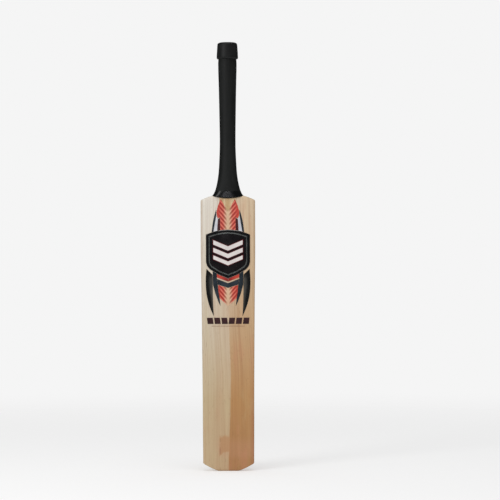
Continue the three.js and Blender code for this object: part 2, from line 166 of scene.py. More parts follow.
def mesh_object(name, verts, faces, smooth=40.0):
    me = bpy.data.meshes.new(name)
    me.from_pydata([tuple(c * MM for c in v) for v in verts], [], faces)
    ob = bpy.data.objects.new(name, me)
    bpy.context.scene.collection.objects.link(ob)
    tidy(ob, smooth)
    return ob


def tidy(ob, smooth=40.0):
    """Merges, turns faces out and shades smooth up to an angle."""
    bm = bmesh.new()
    bm.from_mesh(ob.data)
    bmesh.ops.remove_doubles(bm, verts=bm.verts, dist=2e-6)
    bmesh.ops.dissolve_degenerate(bm, edges=bm.edges, dist=1e-7)
    bmesh.ops.recalc_face_normals(bm, faces=bm.faces)
    for f in bm.faces:
        f.smooth = True
    for e in bm.edges:
        e.smooth = len(e.link_faces) == 2 and e.calc_face_angle(0.0) < math.radians(smooth)
    bm.to_mesh(ob.data)
    bm.free()
    ob.data.update()


def loft(name, rings, smooth=40.0):
    m, half = len(rings[0]), len(rings[0]) // 2
    verts = [p for r in rings for p in r]
    faces = []
    for r in range(len(rings) - 1):
        for i in range(m):
            j = (i + 1) % m
            faces.append((r * m + i, r * m + j, (r + 1) * m + j, (r + 1) * m + i))
    for r in (0, len(rings) - 1):
        for i in range(half - 1):
            faces.append((r * m + i, r * m + i + 1, r * m + m - 2 - i, r * m + m - 1 - i))
    return mesh_object(name, verts, faces, smooth)


def band(name, rings, smooth=40.0):
    m, n = len(rings[0]), len(rings)
    verts = [p for r in rings for p in r]
    faces = [
        (r * m + i, r * m + (i + 1) % m, ((r + 1) % n) * m + (i + 1) % m, ((r + 1) % n) * m + i)
        for r in range(n)
        for i in range(m)
    ]
    return mesh_object(name, verts, faces, smooth)


def prism(name, outline, y0, y1):
    n = len(outline)
    verts = [(x, y0, z) for x, z in outline] + [(x, y1, z) for x, z in outline]
    faces = [tuple(range(n)), tuple(range(2 * n - 1, n - 1, -1))]
    faces += [(i, (i + 1) % n, (i + 1) % n + n, i + n) for i in range(n)]
    return mesh_object(name, verts, faces)


def boolean(a, b, op, drop=True):
    mod = a.modifiers.new("cut", "BOOLEAN")
    mod.operation, mod.object, mod.solver = op, b, "EXACT"
    dg = bpy.context.evaluated_depsgraph_get()
    me = bpy.data.meshes.new_from_object(a.evaluated_get(dg))
    a.modifiers.clear()
    old, a.data = a.data, me
    bpy.data.meshes.remove(old)
    if drop:
        bpy.data.objects.remove(b)
    return a


def copy(ob, name):
    new = bpy.data.objects.new(name, ob.data.copy())
    bpy.context.scene.collection.objects.link(new)
    return new


def keep_between(ob, axis, lo, hi):
    """Cuts a closed mesh down to a slab and closes the cuts."""
    bm = bmesh.new()
    bm.from_mesh(ob.data)
    for at, sign in ((lo, -1), (hi, 1)):
        if at is None:
            continue
        co, no = Vector(), Vector()
        co[axis], no[axis] = at * MM, sign
        got = bmesh.ops.bisect_plane(bm, geom=bm.verts[:] + bm.edges[:] + bm.faces[:], plane_co=co, plane_no=no, clear_outer=True)
        edges = [e for e in got["geom_cut"] if isinstance(e, bmesh.types.BMEdge) and e.is_boundary]
        if edges:
            bmesh.ops.contextual_create(bm, geom=edges)
    bm.to_mesh(ob.data)
    bm.free()


def own(ob, material, body="root", nodes=()):
    ob.data.materials.clear()
    ob.data.materials.append(material)
    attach(ob, body)
    if nodes:
        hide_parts(*nodes)
    return ob


# ------------------------------------------------------------------- materials
class Nodes:
    """A small wrapper that makes node trees short to write."""

    def __init__(self, name):
        self.mat = bpy.data.materials.new(name)
        self.mat.use_nodes = True
        self.t = self.mat.node_tree
        self.t.nodes.clear()
        self.out = self.t.nodes.new("ShaderNodeOutputMaterial")
        self.p = self.t.nodes.new("ShaderNodeBsdfPrincipled")
        self.t.links.new(self.p.outputs[0], self.out.inputs[0])
        self.pos = self.new("ShaderNodeTexCoord").outputs["Object"]
        s = self.new("ShaderNodeSeparateXYZ")
        self.link(self.pos, s.inputs[0])
        self.x, self.y, self.z = s.outputs

    def new(self, kind, **props):
        n = self.t.nodes.new(kind)
        for k, v in props.items():
            setattr(n, k, v)
        return n

    def link(self, a, b):
        if isinstance(a, (int, float)):
            b.default_value = a
        elif isinstance(a, tuple):
            b.default_value = a
        else:
            self.t.links.new(a, b)

    def math(self, op, a, b=0.0, c=0.0, clamp=False):
        n = self.new("ShaderNodeMath", operation=op, use_clamp=clamp)
        for i, v in enumerate((a, b, c)):
            self.link(v, n.inputs[i])
        return n.outputs[0]

    def add(self, a, b):
        return self.math("ADD", a, b)

    def sub(self, a, b):
        return self.math("SUBTRACT", a, b)

    def mul(self, a, b):
        return self.math("MULTIPLY", a, b)

    def smooth(self, v, lo, hi, a=0.0, b=1.0):
        """a at v = lo to b at v = hi, eased and clamped."""
        n = self.new("ShaderNodeMapRange", interpolation_type="SMOOTHSTEP")
        if lo > hi:
            lo, hi, a, b = hi, lo, b, a
        for i, x in enumerate((v, lo, hi, a, b)):
            self.link(x, n.inputs[i])
        return n.outputs[0]

    def vec(self, x, y, z):
        n = self.new("ShaderNodeCombineXYZ")
        for i, v in enumerate((x, y, z)):
            self.link(v, n.inputs[i])
        return n.outputs[0]

    def noise(self, vector, scale=1.0, detail=2.0, rough=0.5, distortion=0.0):
        n = self.new("ShaderNodeTexNoise")
        self.link(vector, n.inputs["Vector"])
        n.inputs["Scale"].default_value = scale
        n.inputs["Detail"].default_value = detail
        n.inputs["Roughness"].default_value = rough
        n.inputs["Distortion"].default_value = distortion
        return n.outputs["Fac"]

    def ramp(self, v, stops, mode="LINEAR"):
        n = self.new("ShaderNodeValToRGB")
        cr = n.color_ramp
        cr.interpolation = mode
        while len(cr.elements) > 1:
            cr.elements.remove(cr.elements[-1])
        for i, (at, col) in enumerate(stops):
            e = cr.elements[0] if i == 0 else cr.elements.new(at)
            e.position = at
            e.color = col
        self.link(v, n.inputs[0])
        return n.outputs[0]

    def mix(self, fac, a, b, blend="MIX"):
        n = self.new("ShaderNodeMix", data_type="RGBA", blend_type=blend, clamp_factor=True)
        self.link(fac, n.inputs["Factor"])
        self.link(a, n.inputs[6])
        self.link(b, n.inputs[7])
        return n.outputs[2]

    def bump(self, height, strength=0.3, distance=0.0003, normal=None):
        n = self.new("ShaderNodeBump")
        n.inputs["Strength"].default_value = strength
        n.inputs["Distance"].default_value = distance
        self.link(height, n.inputs["Height"])
        if normal is not None:
            self.link(normal, n.inputs["Normal"])
        return n.outputs[0]

    def done(self, color, rough, bump=None, **sockets):
        self.link(color, self.p.inputs["Base Color"])
        self.link(rough, self.p.inputs["Roughness"])
        if bump is not None:
            self.link(bump, self.p.inputs["Normal"])
        for k, v in sockets.items():
            self.p.inputs[k.replace("_", " ")].default_value = v
        return self.mat


GREY = lambda v: (v, v, v, 1.0)


# Wood colours at the toe, the waist and the shoulders (height in mm): pale sapwood at
# the left edge, the wood beside it, and the heartwood. Their paling towards the shoulders and
# towards the left is partly the wood's own tone and partly painted light from the upper left.
WOOD_AND_LIGHT_TONES = {
    "sap": [(0, (190, 165, 130)), (140, (190, 170, 135)), (530, (225, 220, 210))],
    "middle": [(0, (185, 155, 120)), (140, (190, 165, 130)), (530, (220, 210, 195))],
    "heart": [(0, (165, 120, 75)), (140, (180, 135, 85)), (530, (215, 195, 165))],
}
HEART_EDGE = [(0, 0.0), (61, 1.3), (120, 3.6), (189, 4.8), (268, 2.0), (330, 1.0)]  # height, distance from the middle
TONE_TOP = 560.0


def willow_color(m):
    """The colour of the willow at a point of the blade, and masks that bump and roughness use."""
    height = m.mul(m.z, 1000.0 / TONE_TOP)
    tone = {k: m.ramp(height, [(z / TONE_TOP, srgb(*c)) for z, c in v]) for k, v in WOOD_AND_LIGHT_TONES.items()}
    # Growth lines run the length of the blade, lean a little above the middle, and wander.
    wander = m.noise(m.vec(m.mul(m.x, 5), m.mul(m.y, 6), m.mul(m.z, 4.0)), 1.0, 2.0)
    lean = m.add(m.smooth(m.z, 0.17, 0.34, 0.0, 0.008), m.mul(m.y, 0.16))
    gx = m.add(m.add(m.x, lean), m.mul(m.sub(wander, 0.5), 0.009))
    # Heartwood: a crisp edge low on the blade that dissolves into a slow change above it. The slow
    # change, darker and warmer to the right, is partly the wood and partly painted shade on the side away from the
    # light.
    edge = m.noise(m.vec(m.mul(m.x, 9), m.mul(m.y, 30), m.mul(m.z, 55)), 1.0, 3.0)
    bound = m.add(m.mul(m.ramp(height, [(z / TONE_TOP, GREY(v / 10)) for z, v in HEART_EDGE]), 0.010), m.mul(m.sub(edge, 0.5), 0.0022))
    crisp = m.smooth(m.sub(m.x, bound), -0.0010, 0.0014)
    slow = m.smooth(m.x, -0.026, 0.032)
    low = m.smooth(m.z, 0.35, 0.22)
    heart = m.add(m.mul(crisp, low), m.mul(slow, m.sub(1.0, low)))
    # Paler towards the left edge: partly sapwood, partly painted light from the left.
    base = m.mix(m.smooth(m.x, -0.046, -0.006), tone["sap"], tone["middle"])
    base = m.mix(heart, base, tone["heart"])
    # Grain: broad soft bands, finer streaks, uneven growth lines and short fibres.
    broad = m.noise(m.vec(m.mul(gx, 125), m.mul(m.y, 22), m.mul(m.z, 2.2)), 1.0, 2.0, 0.5)
    streak = m.noise(m.vec(m.mul(gx, 430), m.mul(m.y, 90), m.mul(m.z, 5.0)), 1.0, 2.0, 0.5)
    drift = m.noise(m.vec(m.mul(gx, 38), m.mul(m.y, 9), m.mul(m.z, 1.0)), 1.0, 2.0)
    f = m.math("FRACT", m.add(m.mul(gx, 92), m.mul(drift, 3.4)))
    ring_line = m.smooth(m.math("ABSOLUTE", m.sub(f, 0.5)), 0.5, 0.38)
    ring_line = m.mul(ring_line, m.smooth(streak, 0.35, 0.65, 0.25, 1.0))
    fibre = m.noise(m.vec(m.mul(gx, 1500), m.mul(m.y, 900), m.mul(m.z, 24)), 1.0, 3.0, 0.6)
    blotch = m.noise(m.vec(m.mul(m.x, 46), m.mul(m.y, 30), m.mul(m.z, 11)), 1.0, 3.0, 0.5)
    col = m.mix(m.smooth(broad, 0.50, 0.76, 0.0, 0.26), base, m.mix(heart, srgb(178, 150, 118), srgb(160, 108, 66)))
    col = m.mix(m.smooth(broad, 0.50, 0.26, 0.0, 0.22), col, m.mix(heart, srgb(210, 200, 160), srgb(198, 160, 112)))
    col = m.mix(m.smooth(streak, 0.48, 0.74, 0.0, 0.16), col, m.mix(heart, srgb(170, 138, 104), srgb(150, 98, 62)))
    col = m.mix(m.mul(ring_line, 0.15), col, srgb(146, 104, 70))
    col = m.mix(m.mul(m.smooth(blotch, 0.53, 0.72, 0.0, 0.34), m.smooth(heart, 0.0, 1.0, 0.4, 1.0)), col, srgb(192, 132, 100))
    col = m.mix(m.smooth(blotch, 0.45, 0.28, 0.0, 0.16), col, srgb(196, 186, 142))
    col = m.mix(m.smooth(fibre, 0.44, 0.74, 0.0, 0.13), col, srgb(140, 100, 66))
    # Short dark flecks along the grain.
    fleck = m.noise(m.vec(m.mul(m.x, 520), m.mul(m.y, 500), m.mul(m.z, 120)), 1.0, 0.0)
    col = m.mix(m.smooth(fleck, 0.73, 0.80, 0.0, 0.20), col, srgb(120, 84, 56))
    return col, ring_line, fibre, heart, tone


def willow():
    m = Nodes("willow")
    col, ring_line, fibre, heart, tone = willow_color(m)
    front = m.smooth(m.y, 0.004, -0.001)
    # A tongue of heartwood low on the face, with ragged soft edges and two darker marks.
    rag = m.sub(m.noise(m.vec(m.mul(m.x, 150), m.mul(m.y, 40), m.mul(m.z, 75)), 1.0, 4.0, 0.6), 0.5)
    top = m.smooth(m.add(m.z, m.mul(rag, 0.012)), 0.0725, 0.0650)
    rise = m.math("MINIMUM", m.add(0.0290, m.mul(m.add(m.x, 0.0185), 0.95)), 0.0372)
    foot = m.smooth(m.add(m.sub(m.z, rise), m.mul(rag, 0.006)), -0.0018, 0.0020)
    side = m.smooth(m.add(m.x, m.mul(rag, 0.005)), -0.0205, -0.0155)
    tongue = m.mul(m.mul(top, foot), m.mul(side, front))
    halo = m.mul(m.mul(m.smooth(m.x, -0.027, -0.018), m.mul(m.smooth(m.z, 0.020, 0.034), m.smooth(m.z, 0.072, 0.050))), front)
    warm = m.mix(0.35, tone["heart"], srgb(184, 140, 108))
    col = m.mix(m.mul(halo, 0.22), col, srgb(190, 140, 112))
    col = m.mix(m.mul(m.mul(tongue, m.sub(1.0, heart)), 0.78), col, warm)
    for x0, z0, w, hh, s, c in ((-0.0163, 0.0605, 900, 240, 0.42, (146, 116, 76)), (-0.0166, 0.0395, 640, 130, 0.46, (150, 100, 74))):
        dx = m.mul(m.sub(m.x, x0), w)
        dz = m.mul(m.sub(m.z, z0), hh)
        spot = m.smooth(m.add(m.add(m.mul(dx, dx), m.mul(dz, dz)), m.mul(rag, 1.5)), 1.6, 0.0)
        col = m.mix(m.mul(m.mul(spot, front), s), col, srgb(*c))
    # A redder strip by the right edge low down, and darker wood along the arrises, ragged, and at the toe.
    strip = m.mul(m.smooth(m.x, 0.040, 0.049), m.smooth(m.z, 0.24, 0.10))
    col = m.mix(m.mul(strip, 0.40), col, srgb(164, 108, 78))
    arris = m.smooth(m.math("ABSOLUTE", m.x), 0.0490, 0.0520)
    col = m.mix(m.mul(arris, m.smooth(rag, -0.15, 0.2, 0.12, 0.32)), col, srgb(152, 122, 90))
    toe = m.smooth(m.z, 0.0050, 0.0004)
    col = m.mix(m.mul(toe, 0.42), col, srgb(140, 104, 74))
    rough = m.smooth(fibre, 0.3, 0.7, 0.46, 0.60)
    h = m.add(m.mul(fibre, 0.6), m.mul(ring_line, -0.5))
    return m.done(col, rough, m.bump(h, 0.14, 0.0002), Coat_Weight=0.06, Coat_Roughness=0.4, Specular_IOR_Level=0.3)


def cane(tint):
    m = Nodes(f"cane_{tint}")
    fibre = m.noise(m.vec(m.mul(m.x, 1500), m.mul(m.y, 1500), m.mul(m.z, 18)), 1.0, 3.0, 0.6)
    broad = m.noise(m.vec(m.add(m.mul(m.x, 90), tint * 7.0), m.mul(m.y, 90), m.mul(m.z, 5)), 1.0, 2.0)
    pore = m.noise(m.vec(m.mul(m.x, 2600), m.mul(m.y, 2600), m.mul(m.z, 60)), 1.0, 0.0)
    lo, hi = [((222, 197, 158), (199, 165, 118)), ((214, 186, 143), (187, 150, 103)), ((226, 204, 166), (204, 172, 126))][tint]
    col = m.mix(m.smooth(broad, 0.3, 0.7), srgb(*lo), srgb(*hi))
    col = m.mix(m.smooth(fibre, 0.42, 0.7, 0.0, 0.35), col, srgb(150, 110, 66))
    col = m.mix(m.smooth(pore, 0.66, 0.74, 0.0, 0.45), col, srgb(96, 66, 38))
    return m.done(col, m.smooth(fibre, 0.3, 0.7, 0.48, 0.64), m.bump(fibre, 0.2, 0.0002))


def rubber_insert():
    m = Nodes("insert_rubber")
    g = m.noise(m.pos, 900.0, 3.0)
    col = m.mix(m.smooth(g, 0.35, 0.7), srgb(40, 36, 33), srgb(58, 52, 47))
    return m.done(col, m.smooth(g, 0.3, 0.7, 0.75, 0.9), m.bump(g, 0.15, 0.0002))


def twine():
    m = Nodes("twine")
    turn = m.math("FRACT", m.mul(m.z, 1 / 0.0008))
    ridge_h = m.math("SINE", m.mul(turn, math.pi))
    lay = m.noise(m.vec(m.mul(m.x, 900), m.mul(m.y, 900), m.mul(m.z, 1300)), 1.0, 2.0)
    # Painted shade and light: the colour is dark in the grooves between turns and pale on their crests, following the
    # ridge height.
    col = m.mix(m.smooth(ridge_h, 0.0, 0.7), srgb(138, 122, 92), srgb(222, 210, 182))
    col = m.mix(m.smooth(lay, 0.5, 0.8, 0.0, 0.35), col, srgb(176, 158, 124))
    return m.done(col, 0.72, m.bump(m.add(ridge_h, m.mul(lay, 0.3)), 0.6, 0.0003))


def tape():
    m = Nodes("tape")
    n = m.noise(m.pos, 700.0, 3.0)
    seam = m.smooth(m.math("ABSOLUTE", m.sub(m.math("FRACT", m.add(m.mul(m.z, 40), m.mul(m.x, 18))), 0.5)), 0.47, 0.5)
    col = m.mix(m.mul(seam, 0.6), m.mix(m.smooth(n, 0.3, 0.7), srgb(236, 232, 222), srgb(222, 216, 202)), srgb(170, 160, 140))
    return m.done(col, m.smooth(n, 0.3, 0.7, 0.5, 0.65), m.bump(n, 0.12, 0.0002))


def grip_rubber():
    """Matte moulded rubber, with a glossier smooth band at its lower end."""
    m = Nodes("grip_rubber")
    fine = m.noise(m.pos, 1600.0, 3.0, 0.6)
    dust = m.noise(m.vec(m.mul(m.x, 60), m.mul(m.y, 60), m.mul(m.z, 14)), 1.0, 4.0, 0.6)
    wear = m.noise(m.vec(m.mul(m.x, 240), m.mul(m.y, 240), m.mul(m.z, 32)), 1.0, 3.0, 0.6)
    wobble = m.mul(m.sub(m.noise(m.pos, 60.0, 2.0), 0.5), 0.002)
    smooth_band = m.smooth(m.add(m.z, wobble), 0.5548, 0.5512)
    base = m.mix(m.smooth(dust, 0.35, 0.7), srgb(17, 19, 18), srgb(25, 27, 26))
    base = m.mix(m.smooth(wear, 0.55, 0.8, 0.0, 0.35), base, srgb(40, 42, 41))
    base = m.mix(m.smooth(fine, 0.45, 0.75, 0.0, 0.4), base, srgb(10, 12, 11))
    col = m.mix(smooth_band, base, m.mix(m.smooth(dust, 0.4, 0.7), srgb(9, 11, 11), srgb(15, 16, 17)))
    rough_m = m.smooth(dust, 0.3, 0.7, 0.52, 0.68)
    rough = m.math("ADD", m.mul(rough_m, m.sub(1.0, smooth_band)), m.mul(smooth_band, m.smooth(fine, 0.3, 0.7, 0.21, 0.27)))
    h = m.mul(m.sub(1.0, smooth_band), m.add(fine, m.mul(wear, 0.5)))
    return m.done(col, rough, m.bump(h, 0.35, 0.0004), Specular_IOR_Level=0.3)


def cuff_rubber():
    m = Nodes("cuff_rubber")
    fine = m.noise(m.pos, 1600.0, 3.0, 0.6)
    dust = m.noise(m.vec(m.mul(m.x, 60), m.mul(m.y, 60), m.mul(m.z, 40)), 1.0, 4.0, 0.6)
    col = m.mix(m.smooth(dust, 0.35, 0.7), srgb(19, 20, 20), srgb(27, 28, 28))
    col = m.mix(m.smooth(fine, 0.45, 0.75, 0.0, 0.35), col, srgb(16, 17, 17))
    return m.done(col, m.smooth(dust, 0.3, 0.7, 0.48, 0.62), m.bump(fine, 0.3, 0.0004), Specular_IOR_Level=0.3)


def film(m, col, rough=0.16, metal=0.0, coat=0.6):
    """Gloss label film over a colour: a little cloudiness in the gloss, and faint dust."""
    cloud = m.noise(m.pos, 60.0, 3.0)
    fine = m.noise(m.pos, 1800.0, 2.0)
    r = m.add(m.smooth(cloud, 0.3, 0.7, rough, rough + 0.06), m.mul(fine, 0.03))
    return m.done(col, r, m.bump(fine, 0.03, 0.0001), Metallic=metal, Coat_Weight=coat, Coat_Roughness=0.05)


def lacquer(name, a, b, **kw):
    m = Nodes(name)
    cloud = m.noise(m.pos, 60.0, 3.0)
    return film(m, m.mix(m.smooth(cloud, 0.3, 0.7), srgb(*a), srgb(*b)), **kw)


def wing_film():
    """Black along the outer edge, easing to a lighter grey along the inner one: a painted reflection in the gloss
    film.
    """
    m = Nodes("label_wing")
    cloud = m.noise(m.vec(m.mul(m.x, 90), m.mul(m.y, 90), m.mul(m.z, 24)), 1.0, 3.0)
    ax = m.add(m.math("ABSOLUTE", m.x), m.mul(m.sub(cloud, 0.5), 0.006))
    bow = m.smooth(m.z, 0.300, 0.375, 0.0075, 0.0)
    inner = m.smooth(m.add(ax, bow), 0.0400, 0.0335)
    reflection_mask = m.mul(inner, m.mul(m.smooth(m.z, 0.392, 0.375), m.smooth(m.z, 0.306, 0.325)))
    # Painted reflection: the grey stands in for the studio seen in the gloss on the wing's inner half.
    reflection_grey = m.mix(m.smooth(cloud, 0.35, 0.7), srgb(58, 58, 56), srgb(84, 80, 72))
    return film(m, m.mix(reflection_mask, srgb(10, 11, 10), reflection_grey), rough=0.14, metal=0.0, coat=0.9)


def shield_film():
    """Near-black field with three plain off-white chevrons, each edged dark red."""
    m = Nodes("label_shield_field")
    cloud = m.noise(m.pos, 60.0, 3.0)
    ax = m.math("ABSOLUTE", m.x)
    along = m.sub(m.z, m.mul(ax, 0.42))

    def stripe(z0, z1, grow):
        e, g = 0.00025, grow * MM
        k = m.mul(m.smooth(along, z0 * MM - g - e, z0 * MM - g + e), m.smooth(along, z1 * MM + g + e, z1 * MM + g - e))
        return m.mul(k, m.smooth(ax, 0.0290 + g + e, 0.0290 + g - e))

    col = m.mix(m.smooth(cloud, 0.3, 0.7), srgb(9, 5, 8), srgb(15, 9, 12))
    bands = [(406.0, 413.5), (420.0, 428.5), (435.0, 443.5)]
    for z0, z1 in bands:
        col = m.mix(stripe(z0, z1, 1.5), col, srgb(84, 14, 22))
    white = m.mix(m.smooth(cloud, 0.3, 0.7), srgb(228, 222, 218), srgb(216, 209, 206))
    for z0, z1 in bands:
        col = m.mix(stripe(z0, z1, 0.0), col, white)
    return film(m, col, rough=0.1, coat=0.9)


def chevrons(name, pitch=9.2, slope=1.15, shift=0.0, cream=1.0):
    """Red film with slanting bands that fade towards the middle to the wood's tone."""
    m = Nodes(name)
    ax = m.math("ABSOLUTE", m.x)
    jitter = m.mul(m.sub(m.noise(m.vec(m.mul(m.x, 60), 0.0, m.mul(m.z, 90)), 1.0, 2.0), 0.5), 0.0012)
    along = m.add(m.sub(m.z, m.mul(ax, slope)), jitter)
    wave = m.math("SINE", m.mul(m.add(m.mul(along, 1000.0 / pitch), shift), 2 * math.pi))
    light = m.smooth(wave, -0.45, 0.80)
    zone = m.smooth(ax, 0.0035, 0.0100)
    pale = m.mix(zone, srgb(226, 176, 150), srgb(221, 112, 92))
    dark = m.mix(zone, srgb(166, 112, 82), srgb(162, 42, 30))
    col = m.mix(light, dark, pale)
    col = m.mix(m.mul(m.smooth(ax, 0.0052, 0.0008), cream), col, srgb(214, 180, 146))
    solid = m.mix(m.smooth(m.z, 0.33, 0.50), srgb(176, 48, 34), srgb(192, 56, 42))
    col = m.mix(m.smooth(ax, 0.0125, 0.0190, 0.0, 0.85), col, solid)
    cloud = m.noise(m.pos, 80.0, 3.0)
    col = m.mix(m.smooth(cloud, 0.45, 0.8, 0.0, 0.18), col, srgb(158, 44, 32))
    return film(m, col, rough=0.24, coat=0.4)


def plain_red():
    m = Nodes("label_red_plain")
    cloud = m.noise(m.pos, 90.0, 3.0)
    col = m.mix(m.smooth(m.math("ABSOLUTE", m.x), 0.002, 0.016), srgb(138, 24, 18), srgb(190, 58, 42))
    col = m.mix(m.smooth(cloud, 0.45, 0.75, 0.0, 0.3), col, srgb(206, 84, 60))
    return film(m, col, rough=0.22, coat=0.5)


# ------------------------------------------------------ blade, canes, inserts
US = spread(56)
toe = []
for a in (90, 75, 60, 45, 30, 15, 0):
    t = math.radians(a)
    toe.append(body_ring(TOE_R * (1 - math.sin(t)), US, TOE_R * (1 - math.cos(t))))
zs = [4, 6, 9, 13, 18, 24, 31, 39, 48, 59] + [70 + 12 * i for i in range(38)]
zs = [z for z in zs if z < 520] + [524, 528, 531, 532.5, 533.6, 534.5, 535.2, 535.8, 536.4, 537, 537.8, 538.8, 540, 541.2, 542.3, 543.2, 544, 544.8, 545.6, 546.5, 547.6, 548.8, 550.2, 552, 554, 556.5, 559, 562, 565, 569, 574, 580, 587, 595, 605, 617, 630, 645, 660, 680, 700, 725, 750, 775, 800, 822, CORE_TOP]
body = loft("bat_body", toe + [body_ring(z, US, 0.0, z < TOE_BLEND) for z in zs])


def splice_half(z):
    return TIP_HALF + (z - TIP_Z) * (TOP_HALF - TIP_HALF) / (CUT_Z - TIP_Z)


def vee(name, gap):
    return prism(name, [
        (-(TIP_HALF - gap), TIP_Z + gap), (TIP_HALF - gap, TIP_Z + gap),
        (splice_half(CUT_Z) - gap, CUT_Z + gap), (90, CUT_Z + gap), (90, 1000), (-90, 1000),
        (-90, CUT_Z + gap), (-(splice_half(CUT_Z) - gap), CUT_Z + gap),
    ], -120, 120)


JOIN = 0.12  # visible glue line, in mm
core = boolean(copy(body, "core"), vee("v1", JOIN), "INTERSECT")
blade = boolean(body, vee("v2", 0.0), "DIFFERENCE")
blade.name = "blade_willow"
tidy(blade)
own(blade, willow(), nodes=["blade"])

CANES = [cane(i) for i in range(3)]
h = INSERT_T / 2
slabs = [
    ("front", None, HANDLE_Y + INSERT_Y[0] - h - JOIN),
    ("midfront", HANDLE_Y + INSERT_Y[0] + h + JOIN, HANDLE_Y + INSERT_Y[1] - h - JOIN),
    ("midback", HANDLE_Y + INSERT_Y[1] + h + JOIN, HANDLE_Y + INSERT_Y[2] - h - JOIN),
    ("back", HANDLE_Y + INSERT_Y[2] + h + JOIN, None),
]
strips = [("left", None, -STRIP_X - JOIN / 2), ("middle", -STRIP_X + JOIN / 2, STRIP_X - JOIN / 2), ("right", STRIP_X + JOIN / 2, None)]
for i, (slab, y0, y1) in enumerate(slabs):
    for j, (strip, x0, x1) in enumerate(strips):
        ob = copy(core, f"cane_strip_{slab}_{strip}")
        keep_between(ob, 1, y0, y1)
        keep_between(ob, 0, x0, x1)
        tidy(ob)
        own(ob, CANES[(i * 2 + j) % 3], nodes=[f"cane_{slab}_{strip}"])
INSERT = rubber_insert()
for i, name in enumerate(("front", "centre", "back")):
    ob = copy(core, f"insert_{name}")
    keep_between(ob, 1, HANDLE_Y + INSERT_Y[i] - h, HANDLE_Y + INSERT_Y[i] + h)
    tidy(ob)
    own(ob, INSERT, nodes=[f"rubber_insert_{name}"])
bpy.data.objects.remove(core)

# -------------------------------------------------------- twine, tape, and grip
UH = spread(32)


def layer_ring(z, t, us=UH):
    return oval_ring(z, F_HW(z) + t, F_HY(z) + t, F_N(z), us)


def sleeve(name, tin, tout, z0, z1, low=0.0):
    levels = [z for z in zs if z0 < z < z1]
    levels = [z0] + levels + [z1]
    flare = lambda z: low * max(0.0, 1 - (z - z0) / 8.0)
    return band(name, [layer_ring(z, tin + flare(z)) for z in levels] + [layer_ring(z, tout + flare(z)) for z in reversed(levels)])


own(sleeve("twine_wrap", 0.3, 1.0, 551.0, 842.6), twine(), nodes=["twine_binding"])
own(sleeve("tape_wrap", 1.3, 1.6, 551.0, 842.6), tape(), nodes=["grip_tape"])

# The grip: measured outside profile (height, half width) with a soft step where the
# matte part meets the smooth band, and an edge that hangs lower in front and behind.
OUT = [
    (543.0, 31.8, 21.3, 3.9), (544.8, 30.4, 21.3, 3.8), (547.0, 28.6, 21.2, 3.6), (551.0, 26.5, 21.1, 3.2),
    (555.0, 24.95, 20.9, 2.9), (560.0, 23.4, 20.6, 2.7), (567.0, 21.7, 20.3, 2.5), (575.0, 20.2, 19.8, 2.4),
    (590.0, 18.2, 19.0, 2.3), (612.0, 16.8, 18.1, 2.2), (650.0, 15.6, 17.1, 2.15), (700.0, 16.2, 17.6, 2.15),
    (760.0, 17.3, 18.6, 2.15), (804.0, 18.35, 19.5, 2.15), (809.0, 18.3, 19.4, 2.15), (816.0, 17.75, 18.9, 2.15),
    (844.4, 17.45, 18.65, 2.15),
]
O_X, O_Y, O_N = (pchip([r[0] for r in OUT], [r[k] for r in OUT]) for k in (1, 2, 3))
DIP = 4.6


def grip_ring(z, us, shrink=0.0):
    dip = DIP * max(0.0, 1 - (z - 543) / 30) ** 2
    return oval_ring(z, O_X(z) - shrink, O_Y(z) - shrink, O_N(z), us, dip)


UG = spread(48)
gz = [543.0, 543.35, 543.9, 544.8, 546, 547.4, 549, 550.8, 552.8, 554.4, 555.0, 555.6, 556.2, 557, 558.5, 560.5, 563, 566, 570, 575, 581, 588, 596, 605, 615, 627, 640, 655, 670, 690, 710, 730, 750, 770, 790, 804, 808, 812, 816, 820, 832, 844.4]
outer = []
for z in gz:
    lip = 0.9 if z == 543.0 else 0.28 if z == 543.35 else 0.0
    step = 0.35 * max(0.0, 1 - abs(z - 555.6) / 0.9)  # the groove above the smooth band
    outer.append(grip_ring(z, UG, lip + step))
grip = loft("grip_rubber_sleeve", outer)
seat = loft("seat", [body_ring(z, UG, 0.0, False) for z in zs if 480 < z < 549] + [layer_ring(z, 0.3, UG) for z in zs if z > 549])
boolean(grip, seat, "DIFFERENCE")
inner = loft("inner", [layer_ring(549.6, 1.9, UG)] + [layer_ring(z, 1.9, UG) for z in zs if 550 < z < 843] + [layer_ring(846.0, 1.9, UG)])
boolean(grip, inner, "DIFFERENCE")
tidy(grip, 50)
own(grip, grip_rubber(), nodes=["grip_sleeve"])


def wide(z, hx, hy=None, n=2.15):
    return oval_ring(z, hx, hy if hy else hx * 1.06, n, UG)


def hole(z, s=1.0):
    return wide(z, (14.1 + 3.9) * 0.66 * s, (15.3 + 3.9) * 0.66 * s)


cuff_rings = [
    wide(815.4, 19.2), wide(815.45, 19.7), wide(815.75, 20.25), wide(816.4, 20.75), wide(817.4, 21.05), wide(818.6, 21.2),
    wide(822.0, 21.08), wide(828.0, 20.78), wide(834.0, 20.43), wide(840.0, 20.03), wide(843.4, 19.72),
    wide(844.9, 19.42), wide(846.1, 18.7), wide(847.0, 17.5), wide(847.6, 15.8), wide(847.95, 14.2), wide(848.0, 13.3), wide(847.7, 12.4, 13.15),
    hole(847.0), hole(846.0, 0.99), hole(844.7),
    wide(844.7, 16.4, 17.6), wide(844.7, 17.75, 18.95), wide(832.0, 17.75, 18.95), wide(820.0, 17.95, 19.15), wide(815.8, 18.45, 19.5),
]
own(band("grip_cuff", cuff_rings), cuff_rubber(), nodes=["grip_top_cuff"])

# ----------------------------------------------------------------------- labels
def face_front(x, z):
    return face_y(z) + CROWN * (x / 54) ** 2


